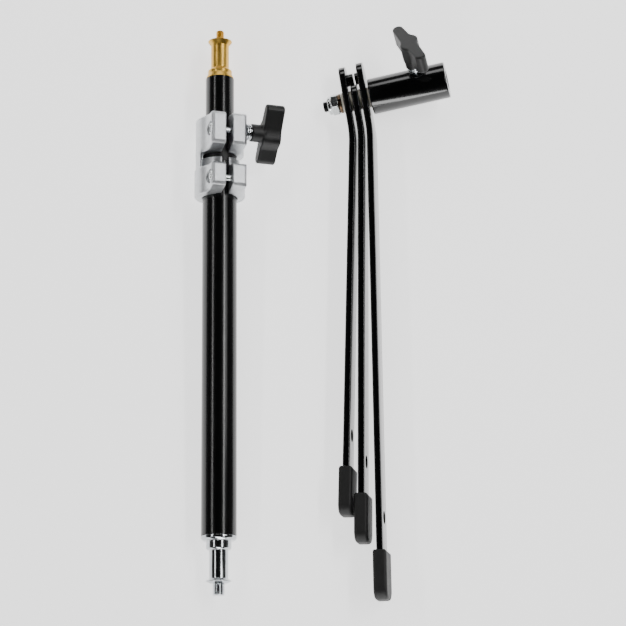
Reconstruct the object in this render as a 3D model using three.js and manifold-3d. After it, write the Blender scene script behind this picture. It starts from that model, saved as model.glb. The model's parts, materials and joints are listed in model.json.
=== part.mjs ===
// Small light stand, taken apart and laid flat: a telescopic column on the left
// and a folded three-leg base on the right. Units are millimetres, +Z is up,
// +Y runs along the column towards its top spigot.
import * as THREE from 'three';
import { mergeVertices } from 'three/addons/utils/BufferGeometryUtils.js';
import Module from 'manifold-3d';

const wasm = await Module();
wasm.setup();

// ---------------------------------------------------------------- sizes
const GAP = 0.3;             // clearance between two pieces that touch
const RUN_GAP = 0.3;         // radial clearance where one piece runs in another
const SIDES = 36;            // sides of a large turned piece
const SMALL_SIDES = 16;      // sides of a small turned piece
const FAR = 40;              // past the edge of any piece that is cut

// column: y = 0 at the lower end of the outer tube, ears point along +Z
const TUBE_OD = 30;
const TUBE_WALL = 1.2;
const TUBE_SHOWN = 294;      // tube seen between the base spigot and the collar
const RISER_OD = 25;
const RISER_WALL = 1.5;
const RISER_SHOWN = 39.2;    // riser seen above the collar
const RISER_INSIDE = 313.8;  // riser hidden in the collar and tube
const STUD_OD = 15.9;        // 5/8 inch grip stud
const STUD_LIP_OD = 21.2;

// the casting follows the tube: walls and reaches are measured from the tube's outside
const TUBE_R = TUBE_OD / 2;
const LOW_CLAMP = { height: 24.6, radius: TUBE_R + 7, screw: 12.4 };
const NECK = { height: 8.8, radius: TUBE_R + 2.4 };
const SLOT_HEIGHT = 4.2;
const SLOT_TURN = 70;        // degrees the spine beside the slot is turned to the left
const SPINE_AT = TUBE_R + 1; // inner face of the spine from the tube axis
const TOP_CLAMP = { height: 32.6, radius: TUBE_R + 6, screw: 18.1 };
const EAR_REACH = TUBE_R + 14;      // ear front face from the tube axis
const EAR_LEFT = TUBE_R - 2;
const EAR_RIGHT = TUBE_R - 1.8;
const SPLIT = 6;
const EAR_BEVEL = 2;
const EAR_ROOT = 6;          // ears start inside the ring
const EAR_RISE = 4.5;        // slope of an ear's underside, from the ring to the front
const SLOPE_FROM = TUBE_R - 1;
const SCREW_OFFSET = TUBE_R + 6.5;  // clamp screws from the tube axis
const CLAMP_M = 6;           // clamp screws
const NUT_AF = 10;
const NUT_HEIGHT = 5;
const HEAD = { radius: 5, height: 5 };
const BUSH_DEPTH = 22;       // bush reach inside the tube
const SLIDER_LENGTH = 20;

const BASE_THREAD = { radius: 5.4, core: 4.5, height: 9.7, turns: 4 };
const TOP_THREAD = { radius: 3.6, core: 3, height: 8.8, turns: 5 };

// knobs
const WING = { width: 19, tip: 10.5, depth: 16.5, bevel: 1.2 };
const HUB_RADIUS = 7.8;
const CLAMP_WING = { length: 54, hub: 9.6 };
const SOCKET_WING = { length: 60, hub: 8.5 };
const FERRULE = { wide: 7.1, narrow: 6.6, low: 1.7, high: 1.4 };
const CLAMP_TWIST = 36;      // clamp wing turned about its screw

// base: x runs along the pivot axis to the socket mouth, legs point along -Y
const SOCKET_OD = 32;
const SOCKET_LENGTH = 69;
const SOCKET_FLOOR = 12;     // solid metal under the bore
const PIVOT_M = 10;
const LEG_WIDTH = 23;
const LEG_THICK = 5.7;
const WASHER_OD = 18;
const WASHER_THICK = 1.6;
const BEND_AT = 34;          // bend from the pivot
const LEG_HOLE = 11;
const HOLE_FROM_FOOT = 28;
const FOOT = {
  length: 41, width: LEG_WIDTH + 5, thick: LEG_THICK + 6.1, corner: 9.5, bevel: 2.2, inside: 34,
};
const LEGS = [
  { name: 'top', bend: 8.3, reach: 409.9, heel: 33.4, stud: -3.2 },
  { name: 'mid', bend: 9.5, reach: 361, heel: LEG_WIDTH / 2 + 2.5, stud: 0 },
  { name: 'low', bend: 10.5, reach: 336.7, heel: 32.7, stud: 5.6 },
];
const STOP_RADIUS = 5.5;
const LEG_SWING = 120;       // degrees between neighbouring legs when spread
const SPRING_THICK = 2.2;
const LOCK_NUT = { af: 17, height: 10 };
const BOLT_END = 4.5;
const SOCKET_BORE_R = STUD_OD / 2 + 0.2;
const PAD_CLEAR = 0.05;      // soft pad drawn back from the bore
const PAD_THICK = 1.8;
const SET_SCREW = { radius: 4, from_mouth: 24.5, stand_off: 3.2, lean: 33, twist: -71 };

// where the two halves lie
const COLUMN_AT = { x: -79.9, y: -188.3, yaw: 0.87, roll: 20 };
const BASE_AT = { x: 35.1, y: 200.2, yaw: 0, roll: 11.3 };

// ------------------------------------------------------------ materials
const PAINT = {
  anodised: [0x0b0b0c, 0.32, 0.7],
  cast: [0xb9bcbf, 0.42, 1.0],
  turned: [0xd4d6d8, 0.22, 1.0],
  brass: [0xc9a24a, 0.25, 1.0],
  enamel: [0x0d0d0f, 0.28, 0.2],
  rubber: [0x151515, 0.8, 0.0],
  plastic: [0x131313, 0.5, 0.0],
  nylon: [0xe9e4d8, 0.55, 0.0],
  zinc: [0xb4b8ba, 0.35, 1.0],
  spring: [0x6a5846, 0.4, 1.0],
  black_steel: [0x1a1a1b, 0.4, 0.8],
};

function paint(kind) {
  const [color, roughness, metalness] = PAINT[kind];
  return new THREE.MeshStandardMaterial({ color, roughness, metalness });
}

// -------------------------------------------------------- small helpers
const rad = THREE.MathUtils.degToRad;

// A closed three.js shape as a solid that can be cut and joined.
function solid(geometry) {
  let bare = geometry.clone();
  for (const extra of ['uv', 'normal', 'uv1']) bare.deleteAttribute(extra);
  bare = mergeVertices(bare, 1e-4);
  const index = bare.index.array;
  const spots = bare.attributes.position.array;
  const keep = [];
  for (let i = 0; i < index.length; i += 3) {
    const [a, b, c] = [index[i], index[i + 1], index[i + 2]];
    if (a !== b && b !== c && c !== a) keep.push(a, b, c);
  }
  return new wasm.Manifold(new wasm.Mesh({
    numProp: 3,
    vertProperties: new Float32Array(spots),
    triVerts: new Uint32Array(keep),
  }));
}

// A solid back as a three.js shape.
function shape(body) {
  const mesh = body.getMesh();
  const geometry = new THREE.BufferGeometry();
  geometry.setAttribute('position', new THREE.BufferAttribute(mesh.vertProperties, 3));
  geometry.setIndex(new THREE.BufferAttribute(mesh.triVerts, 1));
  const flat = geometry.toNonIndexed();
  flat.computeVertexNormals();
  return flat;
}

function minus(body, ...tools) {
  return tools.reduce((left, tool) => left.subtract(solid(tool)), body);
}

function plus(body, ...more) {
  return more.reduce((whole, piece) => whole.add(solid(piece)), body);
}

function named(name, geometry, kind) {
  const mesh = new THREE.Mesh(geometry, paint(kind));
  mesh.name = name;
  return mesh;
}

function group(...children) {
  const holder = new THREE.Group();
  holder.add(...children);
  return holder;
}

// Turned piece about Y from [radius, height] pairs.
function turned(pairs, sides = SIDES) {
  return new THREE.LatheGeometry(pairs.map(([r, h]) => new THREE.Vector2(r, h)), sides);
}

// Ring about Y between two heights.
function ring(outer, inner, low, high, sides = SIDES) {
  return turned([[inner, low], [outer, low], [outer, high], [inner, high], [inner, low]], sides);
}

// Rod about Y between two heights.
function rod(radius, low, high, sides = SMALL_SIDES) {
  return turned([[0, low], [radius, low], [radius, high], [0, high]], sides);
}

// The same rod or ring laid along X.
function alongX(geometry) {
  return geometry.rotateZ(-Math.PI / 2);
}

function block(x0, x1, y0, y1, z0, z1) {
  const box = new THREE.BoxGeometry(x1 - x0, y1 - y0, z1 - z0);
  return box.translate((x0 + x1) / 2, (y0 + y1) / 2, (z0 + z1) / 2);
}

// Hexagon prism along X, across-flats size, between two x values.
function hexAlongX(acrossFlats, x0, x1) {
  const round = acrossFlats / Math.sqrt(3);
  return alongX(new THREE.CylinderGeometry(round, round, x1 - x0, 6))
    .translate((x0 + x1) / 2, 0, 0);
}

// Coarse screw ridges as [radius, height] pairs going up from a height.
function ridges(thread, start, direction) {
  const pitch = thread.height / (thread.turns + 0.5);
  const pairs = [];
  for (let i = 0; i < thread.turns; i += 1) {
    const foot = start + direction * pitch * (i + 0.5);
    pairs.push([thread.core, foot], [thread.radius, foot + direction * pitch * 0.5]);
  }
  return pairs;
}

// --------------------------------------------------------------- column
const TUBE_BORE = TUBE_R - TUBE_WALL;
const COLLAR_BASE = TUBE_SHOWN;
const NECK_BASE = COLLAR_BASE + LOW_CLAMP.height;
const SLOT_BASE = NECK_BASE + NECK.height;
const TOP_BASE = SLOT_BASE + SLOT_HEIGHT;
const COLLAR_TOP = TOP_BASE + TOP_CLAMP.height;
const TUBE_TOP = SLOT_BASE - 3;
const RISER_TOP = COLLAR_TOP + RISER_SHOWN;
const RISER_BASE = COLLAR_TOP - RISER_INSIDE;
const BUSH_BORE = RISER_OD / 2 + RUN_GAP;
const BUSH_LOW_R = TUBE_BORE - RUN_GAP;
const BUSH_HIGH_R = TUBE_R - 0.6;
const LOW_SCREW_Y = COLLAR_BASE + LOW_CLAMP.screw;
const TOP_SCREW_Y = TOP_BASE + TOP_CLAMP.screw;
const HOLE_R = CLAMP_M / 2 + RUN_GAP;

function outerTube() {
  return named('outer_tube', ring(TUBE_R, TUBE_BORE, 0, TUBE_TOP), 'anodised');
}

// Chrome plug: screw tip, double-cone lip, grip stud, neck, flange and plug.
function baseSpigot() {
  const stud = STUD_OD / 2;
  const lip = STUD_LIP_OD / 2;
  const flangeTop = -GAP;
  const flangeLow = flangeTop - 4;
  const neckLow = flangeLow - 7.5;
  const lipTop = neckLow - 24;
  const lipLow = lipTop - 4;
  const tip = lipLow - BASE_THREAD.height;
  const plug = TUBE_BORE - RUN_GAP;
  return named('base_spigot', turned([
    [0, tip], [BASE_THREAD.core - 0.6, tip], ...ridges(BASE_THREAD, tip, 1),
    [BASE_THREAD.core, lipLow], [6.6, lipLow], [lip, lipLow + 1.8], [lip, lipLow + 2.3],
    [stud, lipTop], [stud, neckLow], [lip - 1, neckLow], [lip, neckLow + 1.2],
    [lip, flangeLow], [TUBE_R - 1.6, flangeLow], [TUBE_R, flangeLow + 1.8],
    [TUBE_R, flangeTop], [plug, flangeTop], [plug, 14], [0, 14],
  ]), 'turned');
}

// One ear: a bevelled block from the ring out to the front face.
function ear(x0, x1, y0, y1) {
  const b = EAR_BEVEL;
  const face = new THREE.Shape();
  face.moveTo(x0 + b, y0);
  face.lineTo(x1 - b, y0);
  face.lineTo(x1, y0 + b);
  face.lineTo(x1, y1 - b);
  face.lineTo(x1 - b, y1);
  face.lineTo(x0 + b, y1);
  face.lineTo(x0, y1 - b);
  face.lineTo(x0, y0 + b);
  face.closePath();
  return solid(new THREE.ExtrudeGeometry(face, {
    depth: EAR_REACH - EAR_ROOT - b, bevelEnabled: true, bevelThickness: b, bevelSize: b,
    bevelOffset: -b, bevelSegments: 1, steps: 1,
  }).translate(0, 0, EAR_ROOT));
}

// Wedge that slopes the underside of a clamp up towards its front.
function underside(y0) {
  const angle = Math.atan2(EAR_RISE, EAR_REACH - SLOPE_FROM);
  return block(-FAR, FAR, GAP - SLOT_HEIGHT, 0, 0, FAR).rotateX(-angle)
    .translate(0, y0, SLOPE_FROM);
}

// Two clamps, the neck and the slot between them, cast in one piece.
function collarCasting() {
  const chamfer = 1.2;
  const low = turned([
    [0, COLLAR_BASE], [LOW_CLAMP.radius - chamfer, COLLAR_BASE],
    [LOW_CLAMP.radius, COLLAR_BASE + chamfer], [LOW_CLAMP.radius, NECK_BASE - chamfer],
    [LOW_CLAMP.radius - chamfer, NECK_BASE], [NECK.radius, NECK_BASE],
    [NECK.radius, TOP_BASE], [TOP_CLAMP.radius - chamfer, TOP_BASE],
    [TOP_CLAMP.radius, TOP_BASE + chamfer], [TOP_CLAMP.radius, COLLAR_TOP - chamfer],
    [TOP_CLAMP.radius - chamfer, COLLAR_TOP], [0, COLLAR_TOP],
  ]);
  const half = SPLIT / 2;
  const ears = [[COLLAR_BASE, NECK_BASE], [TOP_BASE, COLLAR_TOP]].flatMap(([y0, y1]) => [
    ear(-half - EAR_LEFT, -half + 1, y0, y1), ear(half - 1, half + EAR_RIGHT, y0, y1),
  ]);
  const spineSide = block(-FAR, FAR, NECK_BASE - 2, TOP_BASE + 2, -FAR, -SPINE_AT)
    .rotateY(rad(SLOT_TURN));
  const spine = solid(rod(TOP_CLAMP.radius, NECK_BASE - 2, TOP_BASE + 2, SIDES))
    .intersect(solid(spineSide));
  const joined = [...ears, spine].reduce((whole, piece) => whole.add(piece), solid(low));
  const slotCut = block(-FAR, FAR, SLOT_BASE, TOP_BASE, -SPINE_AT, FAR).rotateY(rad(SLOT_TURN));
  const split = block(-half, half, COLLAR_BASE - 1, COLLAR_TOP + 1, 8, FAR);
  const tubeSeat = rod(TUBE_R + GAP, COLLAR_BASE - 1, TUBE_TOP + GAP, SIDES);
  const bushSeat = rod(BUSH_HIGH_R + GAP, TUBE_TOP, COLLAR_TOP + 1, SIDES);
  const cuts = [slotCut, split, tubeSeat, bushSeat, underside(COLLAR_BASE), underside(TOP_BASE)];
  for (const y of [LOW_SCREW_Y, TOP_SCREW_Y]) {
    cuts.push(alongX(rod(HOLE_R, -FAR, FAR)).translate(0, y, SCREW_OFFSET));
    cuts.push(alongX(rod(NUT_POCKET, -FAR, NUT_SEAT)).translate(0, y, SCREW_OFFSET));
  }
  const headPocket = alongX(rod(HEAD.radius + GAP, HEAD_SEAT, FAR));
  cuts.push(headPocket.translate(0, LOW_SCREW_Y, SCREW_OFFSET));
  return named('collar_casting', shape(minus(joined, ...cuts)), 'cast');
}

const NUT_SEAT = -SPLIT / 2 - EAR_LEFT + NUT_HEIGHT + 1;
const NUT_POCKET = NUT_AF / Math.sqrt(3) + GAP;
const HEAD_SEAT = SPLIT / 2 + EAR_RIGHT - HEAD.height - GAP;

// Plain hexagon nut caught in the left ear.
function earNut(name, y) {
  const body = solid(hexAlongX(NUT_AF, NUT_SEAT - GAP - NUT_HEIGHT, NUT_SEAT - GAP));
  const hole = alongX(rod(HOLE_R, -60, 60));
  const nut = named(name, shape(minus(body, hole)), 'zinc');
  nut.position.set(0, y, SCREW_OFFSET);
  return nut;
}

// Cap bolt that closes the lower clamp for good.
function collarBolt() {
  const low = HEAD_SEAT + GAP;
  const top = low + HEAD.height - GAP;
  const shank = alongX(rod(CLAMP_M / 2, NUT_SEAT - NUT_HEIGHT - 1, low + 1));
  const head = alongX(turned([
    [0, low], [HEAD.radius, low], [HEAD.radius, top - 0.6], [HEAD.radius - 0.6, top], [0, top],
  ], SMALL_SIDES));
  const drive = hexAlongX(4, top - 2.7, top + 1);
  const bolt = named('collar_bolt', shape(minus(plus(solid(shank), head), drive)), 'zinc');
  bolt.position.set(0, LOW_SCREW_Y, SCREW_OFFSET);
  return bolt;
}

// Plastic bush: thin sleeve in the tube, thicker sleeve up through the collar.
function guideBush() {
  const step = TUBE_TOP + GAP;
  return named('guide_bush', turned([
    [BUSH_BORE, TUBE_TOP - BUSH_DEPTH], [BUSH_LOW_R, TUBE_TOP - BUSH_DEPTH],
    [BUSH_LOW_R, step], [BUSH_HIGH_R, step], [BUSH_HIGH_R, COLLAR_TOP - 1.5],
    [BUSH_BORE, COLLAR_TOP - 1.5], [BUSH_BORE, TUBE_TOP - BUSH_DEPTH],
  ]), 'plastic');
}

function riserTube() {
  const outer = RISER_OD / 2;
  return named('riser_tube', ring(outer, outer - RISER_WALL, RISER_BASE, RISER_TOP), 'anodised');
}

// Piston ring clipped round the lower end of the riser.
function riserSlider() {
  const inner = RISER_OD / 2 + RUN_GAP;
  return named('riser_slider', ring(
    BUSH_LOW_R, inner, RISER_BASE - 1, RISER_BASE - 1 + SLIDER_LENGTH), 'plastic');
}

// End cap under the riser that holds the piston ring on.
function riserCap() {
  const plug = RISER_OD / 2 - RISER_WALL - GAP;
  const low = RISER_BASE - 1 - GAP;
  return named('riser_cap', turned([
    [0, low - 3], [BUSH_LOW_R - 0.6, low - 3], [BUSH_LOW_R - 0.6, low], [plug, low],
    [plug, low + 12], [0, low + 12],
  ]), 'plastic');
}

// Brass top: plug, cone, band, grip stud, lip and threaded tip.
function topSpigot() {
  const stud = STUD_OD / 2;
  const lip = STUD_LIP_OD / 2;
  const plug = RISER_OD / 2 - RISER_WALL - GAP;
  const base = RISER_TOP + GAP;
  const bandLow = base + 4.5;
  const bandTop = bandLow + 2.9;
  const studLow = bandTop + 2.2;
  const studTop = studLow + 21.8;
  const lipAt = studTop + 3.5;
  const face = lipAt + 2;
  const tip = face + TOP_THREAD.height;
  return named('top_spigot', turned([
    [0, RISER_TOP - 14], [plug, RISER_TOP - 14], [plug, base], [RISER_OD / 2, base],
    [lip, bandLow], [lip, bandTop], [stud, studLow], [stud, studTop], [lip, lipAt],
    [lip, lipAt + 0.5], [7, face], [TOP_THREAD.radius + 0.1, face],
    [TOP_THREAD.core, face + 0.4], ...ridges(TOP_THREAD, face, 1), [TOP_THREAD.core, tip - 0.8],
    [TOP_THREAD.core - 1.2, tip], [0, tip],
  ]), 'brass');
}

// ---------------------------------------------------------------- knobs
// Knob pieces stand on y = 0 and rise along +Y; the wing lies along X.
function wing(name, bottom, spec) {
  const { width, tip, depth, bevel } = WING;
  const hubHeight = spec.hub;
  const half = spec.length / 2 - bevel;
  const mid = width / 2 - bevel;
  const end = tip / 2 - bevel;
  const outline = new THREE.Shape();
  outline.moveTo(-half + end, -end);
  outline.quadraticCurveTo(-width * 0.7, -end, -mid, -mid * 0.86);
  outline.quadraticCurveTo(0, -mid * 1.12, mid, -mid * 0.86);
  outline.quadraticCurveTo(width * 0.7, -end, half - end, -end);
  outline.absarc(half - end, 0, end, -Math.PI / 2, Math.PI / 2, false);
  outline.quadraticCurveTo(width * 0.7, end, mid, mid * 0.86);
  outline.quadraticCurveTo(0, mid * 1.12, -mid, mid * 0.86);
  outline.quadraticCurveTo(-width * 0.7, end, -half + end, end);
  outline.absarc(-half + end, 0, end, Math.PI / 2, Math.PI * 1.5, false);
  const wings = new THREE.ExtrudeGeometry(outline, {
    depth: depth - 2 * bevel, bevelEnabled: true, bevelThickness: bevel, bevelSize: bevel,
    bevelSegments: 1, curveSegments: 4,
  }).rotateX(-Math.PI / 2).translate(0, bottom + hubHeight + bevel, 0);
  const hub = rod(HUB_RADIUS, bottom, bottom + hubHeight + 2);
  const hole = rod(FERRULE.narrow - 2, bottom - 1, bottom + hubHeight);
  return named(name, shape(minus(plus(solid(wings), hub), hole)), 'plastic');
}

// Stepped ferrule with the steel screw pressed through it.
function ferruleScrew(name, screwRadius, screwLength, hubHeight) {
  const { wide, narrow, low, high } = FERRULE;
  const shoulder = low + high;
  return named(name, turned([
    [0, -screwLength], [screwRadius - 0.8, -screwLength],
    [screwRadius, -screwLength + 0.8], [screwRadius, 0], [wide - 0.5, 0], [wide, 0.5],
    [wide, low], [narrow, low + 0.3], [narrow, shoulder], [narrow - 2 - GAP, shoulder],
    [narrow - 2 - GAP, shoulder + hubHeight - 1], [0, shoulder + hubHeight - 1],
  ], 24), 'turned');
}

function knob(prefix, screwRadius, screwLength, spec) {
  const top = FERRULE.low + FERRULE.high + GAP;
  return group(wing(`${prefix}_wing`, top, spec),
    ferruleScrew(`${prefix}_screw`, screwRadius, screwLength, spec.hub));
}

// Knob on the upper clamp, with the washer between it and the ear.
function clampKnob() {
  const earFace = SPLIT / 2 + EAR_RIGHT;
  const washerTop = earFace + GAP + 1.2;
  const washer = named('clamp_washer', ring(
    FERRULE.wide, HOLE_R, 0, 1.2, SMALL_SIDES), 'turned');
  washer.position.y = earFace + GAP;
  const screwLength = washerTop + GAP - NUT_SEAT + NUT_HEIGHT;
  const whole = knob('clamp_knob', CLAMP_M / 2, screwLength, CLAMP_WING);
  whole.position.y = washerTop + GAP;
  whole.rotation.y = rad(CLAMP_TWIST);
  const holder = group(washer, whole);
  holder.rotation.z = -Math.PI / 2;
  const placed = group(holder);
  placed.position.set(0, TOP_SCREW_Y, SCREW_OFFSET);
  return placed;
}

function column() {
  const parts = group(
    outerTube(), baseSpigot(), collarCasting(), guideBush(), collarBolt(),
    earNut('collar_nut', LOW_SCREW_Y), earNut('clamp_nut', TOP_SCREW_Y), clampKnob(),
    riserTube(), riserSlider(), riserCap(), topSpigot(),
  );
  parts.rotation.y = rad(COLUMN_AT.roll);
  return parts;
}

// ----------------------------------------------------------------- base
const PITCH = LEG_THICK + WASHER_THICK + 2 * GAP;
const BOLT_HOLE = PIVOT_M / 2 + RUN_GAP;
const LEG_STACK = LEGS.map((leg, i) => -(WASHER_THICK + 2 * GAP) - PITCH * i - LEG_THICK / 2);
const STACK_END = LEG_STACK[2] - LEG_THICK / 2;
const STOP_AT = (LEG_WIDTH / 2 + STOP_RADIUS + GAP) / Math.sin(rad(180 - LEG_SWING));

// Steel receiver: blind bore for a grip stud, cross hole for the set screw.
function socketTube() {
  const outer = SOCKET_OD / 2;
  const bore = SOCKET_BORE_R;
  const body = solid(alongX(turned([
    [0, 0], [outer - 1, 0], [outer, 1], [outer, SOCKET_LENGTH - 1.4],
    [outer - 1.2, SOCKET_LENGTH], [bore + 0.8, SOCKET_LENGTH], [bore, SOCKET_LENGTH - 0.8],
    [bore, SOCKET_FLOOR], [0, SOCKET_FLOOR],
  ])));
  const boltHole = alongX(rod(BOLT_HOLE, -1, SOCKET_FLOOR + 1));
  const cross = rod(SET_SCREW.radius + RUN_GAP, 0, outer + 2)
    .rotateX(rad(90 - SET_SCREW.lean))
    .translate(SOCKET_LENGTH - SET_SCREW.from_mouth, 0, 0);
  return named('socket_tube', shape(minus(body, boltHole, cross)), 'enamel');
}

function flatWasher(name, high) {
  return named(name, alongX(ring(
    WASHER_OD / 2, BOLT_HOLE, high - GAP - WASHER_THICK, high - GAP, 24)), 'nylon');
}

function pivotBolt() {
  const end = STACK_END - WASHER_THICK - 2 * GAP - SPRING_THICK - LOCK_NUT.height - BOLT_END;
  const r = PIVOT_M / 2;
  const head = SOCKET_FLOOR + GAP;
  const body = alongX(turned([
    [0, end], [r - 1, end], [r, end + 1], [r, head], [7.6, head], [7.6, head + 4.4],
    [7, head + 5], [0, head + 5],
  ], 24));
  const drive = hexAlongX(6, head + 2, head + 9);
  return named('pivot_bolt', shape(minus(solid(body), drive)), 'black_steel');
}

function springWasher(high) {
  return named('spring_washer', alongX(ring(
    WASHER_OD / 2 - 0.3, BOLT_HOLE, high - SPRING_THICK, high, 24)), 'spring');
}

// Lock nut: hexagon with a chamfered face and a round collar on the free side.
function lockNut(high) {
  const { af, height } = LOCK_NUT;
  const corner = af / Math.sqrt(3);
  const hex = solid(hexAlongX(af, high - height * 0.72, high));
  const limit = solid(alongX(turned([
    [0, high - height * 0.72], [af / 2, high - height * 0.72],
    [corner, high - height * 0.72 + 1.6], [corner, high - 1.2], [af / 2 + 0.3, high], [0, high],
  ], 24)));
  const collar = alongX(turned([
    [0, high - height], [6.4, high - height], [7.8, high - height * 0.8],
    [7.8, high - height * 0.5], [0, high - height * 0.5],
  ], 24));
  const body = plus(hex.intersect(limit), collar);
  const hole = alongX(rod(BOLT_HOLE, high - height - 1, high + 1));
  return named('lock_nut', shape(minus(body, hole)), 'zinc');
}

// A flat bar side view: straight heel, round end, gentle bend, long shank.
function legBar(spec, centre) {
  const half = LEG_WIDTH / 2;
  const bend = rad(spec.bend);
  const reach = spec.reach - FOOT.length + FOOT.inside;
  const arcSteps = 4;
  const arcHalf = 9;
  const profile = new THREE.Shape();
  const t = LEG_THICK / 2;
  const left = [];
  const right = [];
  const put = (x, y, angle) => {
    left.push([x - t * Math.cos(angle), y + t * Math.sin(angle)]);
    right.push([x + t * Math.cos(angle), y - t * Math.sin(angle)]);
  };
  put(0, spec.heel, 0);
  let [x, y] = [0, -BEND_AT + arcHalf];
  for (let i = 0; i <= arcSteps; i += 1) {
    const angle = bend * i / arcSteps;
    put(x, y, angle);
    const next = bend * (i + 0.5) / arcSteps;
    x -= 2 * arcHalf / arcSteps * Math.sin(next);
    y -= 2 * arcHalf / arcSteps * Math.cos(next);
  }
  const run = reach - arcHalf;
  const endX = -arcHalf * Math.sin(bend) - run * Math.sin(bend);
  const endY = -BEND_AT - (run + arcHalf) * Math.cos(bend);
  put(endX, endY, bend);
  const outline = [...left, ...right.reverse()];
  profile.moveTo(...outline[0]);
  for (const point of outline.slice(1)) profile.lineTo(...point);
  profile.closePath();
  const edge = 0.9;
  const bar = new THREE.ExtrudeGeometry(profile, {
    depth: LEG_WIDTH - 2 * edge, bevelEnabled: true, bevelThickness: edge, bevelSize: edge,
    bevelOffset: -edge, bevelSegments: 1, steps: 1,
  }).translate(0, 0, -half + edge);
  const long = FOOT.inside + 500;
  const pill = turnedEnd(spec.heel, half, long);
  let body = solid(bar).intersect(solid(pill));
  body = minus(body, alongX(rod(BOLT_HOLE, -20, 20, 24)));
  const holeAt = spec.reach - FOOT.length - HOLE_FROM_FOOT;
  const hole = alongX(rod(LEG_HOLE / 2, -200, 200)).rotateZ(-bend).translate(
    -holeAt * Math.sin(bend), -BEND_AT - holeAt * Math.cos(bend), 0);
  body = minus(body, hole);
  if (spec.stud !== 0) {
    const side = Math.sign(spec.stud);
    const ends = [side * (LEG_THICK / 2 - 1), side * LEG_THICK / 2 + spec.stud];
    const stud = alongX(rod(STOP_RADIUS, Math.min(...ends), Math.max(...ends), 24));
    body = plus(body, stud.translate(0, STOP_AT, 0));
  }
  const leg = named(`leg_${spec.name}`, shape(body), 'enamel');
  leg.position.x = centre;
  return leg;
}

// Side limit of a leg: long plate with a half-round heel, wide across X.
function turnedEnd(heel, half, long) {
  const side = new THREE.Shape();
  side.moveTo(-long, -half);
  side.lineTo(heel - half, -half);
  side.absarc(heel - half, 0, half, -Math.PI / 2, Math.PI / 2, false);
  side.lineTo(-long, half);
  side.closePath();
  return new THREE.ExtrudeGeometry(side, { depth: 400, bevelEnabled: false, curveSegments: 8 })
    .translate(0, 0, -300).rotateY(Math.PI / 2).rotateX(Math.PI / 2);
}

// Rubber boot pushed over the end of a leg.
function footBoot(spec, centre) {
  const { length, width, thick, corner, bevel, inside } = FOOT;
  const side = new THREE.Shape();
  const half = width / 2 - bevel;
  const low = -length + bevel;
  const round = corner - bevel;
  side.moveTo(-half, 0);
  side.lineTo(-half, low + round);
  side.absarc(-half + round, low + round, round, Math.PI, Math.PI * 1.5, false);
  side.lineTo(half - round, low);
  side.absarc(half - round, low + round, round, Math.PI * 1.5, Math.PI * 2, false);
  side.lineTo(half, 0);
  side.closePath();
  const rough = new THREE.ExtrudeGeometry(side, {
    depth: thick - 2 * bevel, bevelEnabled: true, bevelThickness: bevel, bevelSize: bevel,
    bevelSegments: 2, curveSegments: 4,
  }).translate(0, 0, -thick / 2 + bevel).rotateY(Math.PI / 2);
  const trim = block(-thick, thick, 0, 9, -width, width);
  const pocket = block(-LEG_THICK / 2 - GAP, LEG_THICK / 2 + GAP, -inside - GAP, 9,
    -LEG_WIDTH / 2 - GAP, LEG_WIDTH / 2 + GAP);
  const boot = named(`foot_${spec.name}`, shape(minus(solid(rough), trim, pocket)), 'rubber');
  const at = spec.reach - length;
  const bend = rad(spec.bend);
  boot.position.set(centre - at * Math.sin(bend), -BEND_AT - at * Math.cos(bend), 0);
  boot.rotation.z = -bend;
  return boot;
}

// Set-screw knob on the socket with its soft pad ahead of the screw.
function socketKnob() {
  const outer = SOCKET_OD / 2;
  const padTop = SOCKET_BORE_R + PAD_CLEAR + PAD_THICK;
  const pad = named('socket_pad', rod(
    SET_SCREW.radius - 0.4, padTop - PAD_THICK, padTop), 'brass');
  const whole = knob('socket_knob', SET_SCREW.radius,
    outer + SET_SCREW.stand_off - padTop - GAP, SOCKET_WING);
  whole.position.y = outer + SET_SCREW.stand_off;
  whole.rotation.y = rad(SET_SCREW.twist);
  const placed = group(pad, whole);
  placed.rotation.x = rad(90 - SET_SCREW.lean);
  placed.position.x = SOCKET_LENGTH - SET_SCREW.from_mouth;
  return placed;
}

function legBase() {
  const parts = group(socketTube(), pivotBolt(), socketKnob());
  LEGS.forEach((leg, i) => {
    const centre = LEG_STACK[i];
    parts.add(legBar(leg, centre), footBoot(leg, centre));
    parts.add(flatWasher(`washer_${leg.name}`, centre + LEG_THICK / 2 + WASHER_THICK + 2 * GAP));
  });
  parts.add(flatWasher('washer_end', STACK_END));
  const springTop = STACK_END - WASHER_THICK - 2 * GAP;
  parts.add(springWasher(springTop), lockNut(springTop - SPRING_THICK - GAP));
  parts.rotation.z = rad(LEGS[1].bend);
  parts.position.x = -LEG_STACK[1] * Math.cos(parts.rotation.z);
  parts.position.y = -LEG_STACK[1] * Math.sin(parts.rotation.z);
  return parts;
}

// --------------------------------------------------------------- layout
// Rests a group on the floor: the lowest corner comes to z = 0.
function rest(holder) {
  holder.updateMatrixWorld(true);
  const box = new THREE.Box3().setFromObject(holder, true);
  holder.position.z -= box.min.z;
  return holder;
}

function layColumn() {
  const span = TUBE_SHOWN;
  const tilted = group(column());
  tilted.rotation.x = Math.asin((LOW_CLAMP.radius - TUBE_R) / span);
  const laid = group(tilted);
  laid.position.set(COLUMN_AT.x, COLUMN_AT.y, 0);
  laid.rotation.z = rad(COLUMN_AT.yaw);
  return rest(laid);
}

function layBase() {
  const rolled = group(legBase());
  rolled.rotation.y = rad(-BASE_AT.roll);
  const laid = group(rolled);
  laid.position.set(BASE_AT.x, BASE_AT.y, 0);
  laid.rotation.z = rad(BASE_AT.yaw);
  return rest(laid);
}

const stand = group(layColumn(), layBase());
stand.name = 'c_stand';
stand.updateMatrixWorld(true);
const all = new THREE.Box3().setFromObject(stand, true);
stand.position.x = -(all.min.x + all.max.x) / 2;
stand.position.y = -(all.min.y + all.max.y) / 2;

export default stand;
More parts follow.
